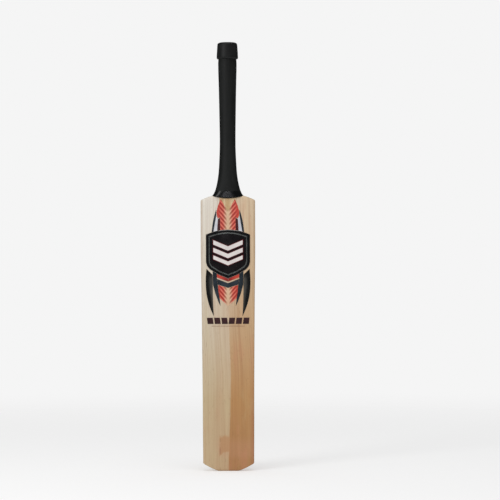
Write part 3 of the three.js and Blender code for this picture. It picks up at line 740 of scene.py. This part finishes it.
def label(name, outline, material, node, slot, t=0.4, gap=0.05, soft=0.22, dome=0.0, hole_line=None):
    """A thin film that lies on the face: the outline filled with a fine grid, its edge rounded."""
    bm = bmesh.new()
    vs = [bm.verts.new((x, 0, z)) for x, z in outline]
    face = bm.faces.new(vs)
    if hole_line:
        bm.faces.remove(face)
        hs = [bm.verts.new((x, 0, z)) for x, z in hole_line]
        n = len(vs)
        for i in range(n):
            bm.faces.new((vs[i], vs[(i + 1) % n], hs[(i + 1) % n], hs[i]))
    for axis, step in ((0, 3.0), (2, 6.0)):
        los = min(v.co[axis] for v in bm.verts)
        his = max(v.co[axis] for v in bm.verts)
        k = math.ceil(los / step + 1e-6)
        while k * step < his - 1e-6:
            co, no = Vector(), Vector()
            co[axis], no[axis] = k * step, 1.0
            bmesh.ops.bisect_plane(bm, geom=bm.verts[:] + bm.edges[:] + bm.faces[:], plane_co=co, plane_no=no, dist=1e-4)
            k += 1
    bmesh.ops.triangulate(bm, faces=[f for f in bm.faces if len(f.verts) > 4])
    bm.verts.ensure_lookup_table()
    pts = [v.co.copy() for v in bm.verts]
    tris = [[v.index for v in f.verts] for f in bm.faces]
    boundary = [(e.verts[0].index, e.verts[1].index) for e in bm.edges if e.is_boundary]
    inward = {}
    for e in bm.edges:
        if e.is_boundary:
            f = e.link_faces[0]
            c = f.calc_center_median()
            a, b = e.verts[0].co, e.verts[1].co
            d = (b - a).cross(Vector((0, 1, 0))).normalized()
            if d.dot(c - a) < 0:
                d = -d
            for v in e.verts:
                inward.setdefault(v.index, []).append(d)
    bm.free()
    w = max(p.x for p in pts) - min(p.x for p in pts)
    cz = (max(p.z for p in pts) + min(p.z for p in pts)) / 2
    hz = (max(p.z for p in pts) - min(p.z for p in pts)) / 2

    def at(p, lift, pull=None):
        x, z = p.x, p.z
        if pull is not None:
            x, z = x + pull.x, z + pull.z
        return (x, face_front(x, z) - gap - lift, z)

    verts, faces = [], []
    n = len(pts)
    top = []
    for i, p in enumerate(pts):
        pull = None
        if i in inward:
            d = sum(inward[i], Vector())
            l = d.length
            pull = d / l * min(soft / max(l / len(inward[i]), 0.35), soft * 2.2) if l > 1e-6 else None
        bulge = dome * max(0.0, 1 - (p.x / (w / 2)) ** 2) * max(0.0, 1 - ((p.z - cz) / hz) ** 2) if dome else 0.0
        top.append(at(p, t + bulge, pull))
    verts += top  # 0..n: crown of the film
    verts += [at(p, t - soft * 0.9 if i in inward else t) for i, p in enumerate(pts)]  # n..2n: shoulder, used at the rim only
    verts += [at(p, 0.0) for p in pts]  # 2n..3n: underside
    for f in tris:
        faces.append(tuple(f))
        faces.append(tuple(2 * n + i for i in reversed(f)))
    for a, b in boundary:
        faces.append((a, b, n + b, n + a))
        faces.append((n + a, n + b, 2 * n + b, 2 * n + a))
    me = bpy.data.meshes.new(name)
    me.from_pydata([tuple(c * MM for c in v) for v in verts], [], faces)
    ob = bpy.data.objects.new(name, me)
    bpy.context.scene.collection.objects.link(ob)
    b2 = bmesh.new()
    b2.from_mesh(me)
    bmesh.ops.delete(b2, geom=[v for v in b2.verts if not v.link_faces], context="VERTS")
    b2.to_mesh(me)
    b2.free()
    tidy(ob, 20)
    return own(ob, material, nodes=[node])


def mirror(p):
    return [(-x, z) for x, z in p][::-1]


def arc(points, n=6):
    """A smooth closed or open curve through points, as a denser list."""
    out = []
    k = len(points)
    for i in range(k - 1):
        p0, p1, p2, p3 = points[max(0, i - 1)], points[i], points[i + 1], points[min(k - 1, i + 2)]
        for j in range(n):
            t = j / n
            out.append(tuple(
                0.5 * (2 * p1[c] + (p2[c] - p0[c]) * t + (2 * p0[c] - 5 * p1[c] + 4 * p2[c] - p3[c]) * t * t + (3 * p1[c] - p0[c] - 3 * p2[c] + p3[c]) * t**3)
                for c in (0, 1)
            ))
    return out + [points[-1]]


def inset(poly, d):
    n = len(poly)
    area = sum(poly[i][0] * poly[(i + 1) % n][1] - poly[(i + 1) % n][0] * poly[i][1] for i in range(n))
    s = 1 if area > 0 else -1
    side = []
    for i in range(n):
        p, q = poly[i], poly[(i + 1) % n]
        l = math.hypot(q[0] - p[0], q[1] - p[1])
        nx, nz = -(q[1] - p[1]) / l * s, (q[0] - p[0]) / l * s
        side.append(((p[0] + nx * d, p[1] + nz * d), (q[0] - p[0], q[1] - p[1])))
    out = []
    for i in range(n):
        (bp, bv), (ap, av) = side[i], side[i - 1]
        c = av[0] * bv[1] - av[1] * bv[0]
        if abs(c) < 1e-9:
            out.append(bp)
            continue
        t = ((bp[0] - ap[0]) * bv[1] - (bp[1] - ap[1]) * bv[0]) / c
        out.append((ap[0] + av[0] * t, ap[1] + av[1] * t))
    return out


CREST = chevrons("label_crest_film", 9.2, 1.15, 0.10)
PLUME = chevrons("label_plume_film", 8.8, 1.15, 0.45)
RED = plain_red()
MAROON = lacquer("label_maroon", (40, 8, 10), (58, 14, 15), rough=0.3, coat=0.2)
BARS = lacquer("label_bar", (74, 12, 10), (52, 9, 9), rough=0.24, coat=0.4)
SLATE = lacquer("label_slate", (30, 38, 44), (44, 54, 62), rough=0.18, metal=0.15, coat=0.7)
WING = wing_film()
SILVER = lacquer("label_silver", (196, 198, 206), (226, 226, 228), rough=0.24, metal=0.1, coat=0.5)
LINE = lacquer("label_line", (78, 82, 80), (96, 100, 98), rough=0.2, metal=0.35, coat=0.8)
BLACK = lacquer("label_black", (6, 6, 8), (12, 11, 13), rough=0.07, coat=1.0)
FIELD = shield_film()

arch_z = lambda x: 476.4 - 9.6 * (x / 43.6) ** 2
right = [(43.6, 466.8), (43.6, 412.5), (41.4, 404.6), (36.0, 398.0), (19.0, 387.6), (0.0, 380.0)]
top = [(x, arch_z(x)) for x in (-36, -24, -12, 0, 12, 24, 36)]
SHIELD = top + right + [(-x, z) for x, z in right[:-1]][::-1]
RIM, LINE_W, GAP = 5.2, 2.2, 0.3
label("shield_rim", SHIELD, BLACK, "label_shield_rim", "label_black", t=1.0, gap=0.06, soft=0.7, hole_line=inset(SHIELD, RIM + 0.12))
label("shield_line", inset(SHIELD, RIM + 0.16), LINE, "label_shield_line", "label_silver", t=1.05, gap=0.06, soft=0.75, hole_line=inset(SHIELD, RIM + GAP + LINE_W + 0.1))
label("shield_field", inset(SHIELD, RIM + LINE_W + GAP + 0.15), FIELD, "label_shield_field", "label_black", t=0.85, gap=0.06, soft=0.3, dome=0.15)


def over(x):
    return (x, arch_z(x) + 0.25)


def low_edge(x):
    pts = [(0.0, 380.0), (19.0, 387.6), (36.0, 398.0), (41.4, 404.6), (43.6, 412.5)]
    a = abs(x)
    for (x0, z0), (x1, z1) in zip(pts, pts[1:]):
        if a <= x1:
            return (x, z0 + (z1 - z0) * (a - x0) / (x1 - x0) - 0.3)


half = [(14, 537.2), (19.4, 524), (22.4, 512.5), (22, 505), (19.9, 499.2), (15.2, 500.4)]
label("crest", [(0, 512)] + half + [over(15.2), over(8), over(0), over(-8), over(-15.2)] + mirror(half), CREST, "label_crest", "label_red", gap=0.06)


def both(name, outline, material, node, slot, **kw):
    label(f"{name}_left", outline, material, f"{node}_left", slot, **kw)
    label(f"{name}_right", mirror(outline), material, f"{node}_right", slot, **kw)


both("bar", [(-15.4, 499.9), (-19.6, 497.6), (-20.4, 486), over(-21.1), over(-18), over(-15.4)], BARS, "label_bar", "label_maroon")
both("facet", [(-19.8, 497.6), (-22.9, 504.2), (-25.9, 488), over(-28.4), over(-25), over(-21.2), (-20.5, 486)], SILVER, "label_facet", "label_silver")
both("fin", arc([(-23.1, 516), (-26.6, 505), (-30.0, 489), over(-32.2)]) + [over(-30.4), over(-28.6), (-26.1, 488), (-23.1, 504.6), (-22.9, 510)], SLATE, "label_fin", "label_slate")
both("wing", arc([(-42.6, 399), (-44, 384), (-44.2, 368), (-42.8, 350), (-39.4, 333.5), (-34.4, 318.5), (-28.4, 305.2)]) + arc([(-29.5, 325), (-30.1, 345), (-30.3, 366), (-30.9, 387.6)], 4), WING, "label_wing", "label_black", soft=0.45)
both("fang", [low_edge(-30.4), (-30.4, 380), (-30.0, 368), (-25.4, 350.5), (-19.4, 334), (-15.1, 325.4), (-16.9, 340.8), (-19.3, 356), (-20.3, 368), (-22.1, 379.4), low_edge(-22.1)], SLATE, "label_fang", "label_slate", soft=0.3)
label("vee_band", [(-21.9, 379.2), (-20.1, 367.7), (0, 361.3), (20.1, 367.7), (21.9, 379.2), (0, 370.7)], SLATE, "label_vee", "label_slate", soft=0.8, t=0.55)
both("chevron", [low_edge(-21.9), (-21.9, 381.9), (-0.2, 373.7), low_edge(-0.2), low_edge(-19)][::-1], RED, "label_chevron", "label_red")
label("plume", [(-19.7, 367.0), (-19.1, 355), (-16.7, 341.0), (0, 325.2), (16.7, 341.0), (19.1, 355), (19.7, 367.0), (0, 360.8)], PLUME, "label_plume", "label_red")
for i in range(3):
    x = 0.6 + i * 14.2
    block = [(x, 290), (x + 11.6, 290), (x + 13.2, 302.4), (x + 1.6, 302.4)]
    label(f"block_{i + 4}", block, MAROON, f"label_block_{i + 4}", "label_maroon")
    label(f"block_{3 - i}", mirror(block), MAROON, f"label_block_{3 - i}", "label_maroon")
label("hairline", [(-33, 285.4), (33, 285.4), (33, 286.0), (-33, 286.0)], lacquer("label_hair", (150, 108, 84), (138, 98, 76), rough=0.4, coat=0.1), "label_hairline", "label_maroon", soft=0.1)

# ----------------------------------------------------------- stage, light, camera
FLOOR_GLOW, WORLD_FILL, WORLD_GLOSS = 0.345, 0.66, 0.07


def floor_paint():
    """A pale floor that fades out into the backdrop a few metres away."""
    m = Nodes("floor_paint")
    far = m.math("SQRT", m.add(m.mul(m.x, m.x), m.mul(m.y, m.y)))
    m.t.nodes.remove(m.p)
    diffuse = m.new("ShaderNodeBsdfDiffuse")
    diffuse.inputs["Color"].default_value = (0.60, 0.60, 0.60, 1.0)
    glow = m.new("ShaderNodeEmission")
    glow.inputs["Color"].default_value = (1.0, 1.0, 1.0, 1.0)
    glow.inputs["Strength"].default_value = FLOOR_GLOW
    both_ = m.new("ShaderNodeAddShader")
    m.t.links.new(diffuse.outputs[0], both_.inputs[0])
    m.t.links.new(glow.outputs[0], both_.inputs[1])
    clear = m.new("ShaderNodeBsdfTransparent")
    mixed = m.new("ShaderNodeMixShader")
    m.t.links.new(m.smooth(far, 0.5, 2.6), mixed.inputs[0])
    m.t.links.new(both_.outputs[0], mixed.inputs[1])
    m.t.links.new(clear.outputs[0], mixed.inputs[2])
    m.t.links.new(mixed.outputs[0], m.out.inputs[0])
    return m.mat


bm = bmesh.new()
bmesh.ops.create_circle(bm, cap_ends=True, radius=3.0, segments=128)
me = bpy.data.meshes.new("floor")
bm.to_mesh(me)
bm.free()
floor = bpy.data.objects.new("floor", me)
bpy.context.scene.collection.objects.link(floor)
floor.location = (0, 0, -0.0002)
floor.data.materials.append(floor_paint())

# A white studio: bright where the camera looks past the bat, softer as fill, and dark in
# reflections, where the softboxes do the work.
world = bpy.data.worlds.new("studio")
bpy.context.scene.world = world
world.use_nodes = True
wt = world.node_tree
bg = wt.nodes["Background"]
bg.inputs[0].default_value = (1.0, 1.0, 1.0, 1.0)
ray = wt.nodes.new("ShaderNodeLightPath")


def world_mix(fac, a, b):
    n = wt.nodes.new("ShaderNodeMix")
    n.data_type = "FLOAT"
    wt.links.new(fac, n.inputs[0])
    for v, i in ((a, 2), (b, 3)):
        if isinstance(v, float):
            n.inputs[i].default_value = v
        else:
            wt.links.new(v, n.inputs[i])
    return n.outputs[0]


level = world_mix(ray.outputs["Is Glossy Ray"], WORLD_FILL, WORLD_GLOSS)
wt.links.new(world_mix(ray.outputs["Is Camera Ray"], level, 0.913), bg.inputs[1])


def area(name, loc, target, size, power, color=(1, 1, 1), size_y=None):
    d = bpy.data.lights.new(name, "AREA")
    d.energy, d.color, d.size = power, color, size
    if size_y:
        d.shape, d.size_y = "RECTANGLE", size_y
    o = bpy.data.objects.new(name, d)
    o.location = loc
    o.rotation_mode = "QUATERNION"
    o.rotation_quaternion = (Vector(loc) - Vector(target)).to_track_quat("Z", "Y")
    o.visible_camera = False
    bpy.context.scene.collection.objects.link(o)
    return o


area("key_left", (-1.6, -2.0, 1.5), (0, 0, 0.45), 0.9, 20, size_y=1.5)
area("top", (0.0, -0.5, 2.6), (0, 0, 0.4), 1.0, 12)
area("front_small", (-0.12, -3.1, 0.95), (0, 0, 0.5), 0.22, 3.0, (0.93, 0.92, 1.0))

cam_data = bpy.data.cameras.new("camera")
cam = bpy.data.objects.new("camera", cam_data)
bpy.context.scene.collection.objects.link(cam)
bpy.context.scene.camera = cam
cam_data.sensor_width = 36.0
DIST = 4.5
FRAME_W = 500 / 0.5051 * MM  # what the 500-wide frame spans at the bat
cam_data.lens = 18.0 * DIST / (FRAME_W / 2)
cam.location = (0.0436, -DIST, 0.4361)
cam.rotation_euler = (math.radians(90), math.radians(0.21), 0)
cam_data.clip_end = 200
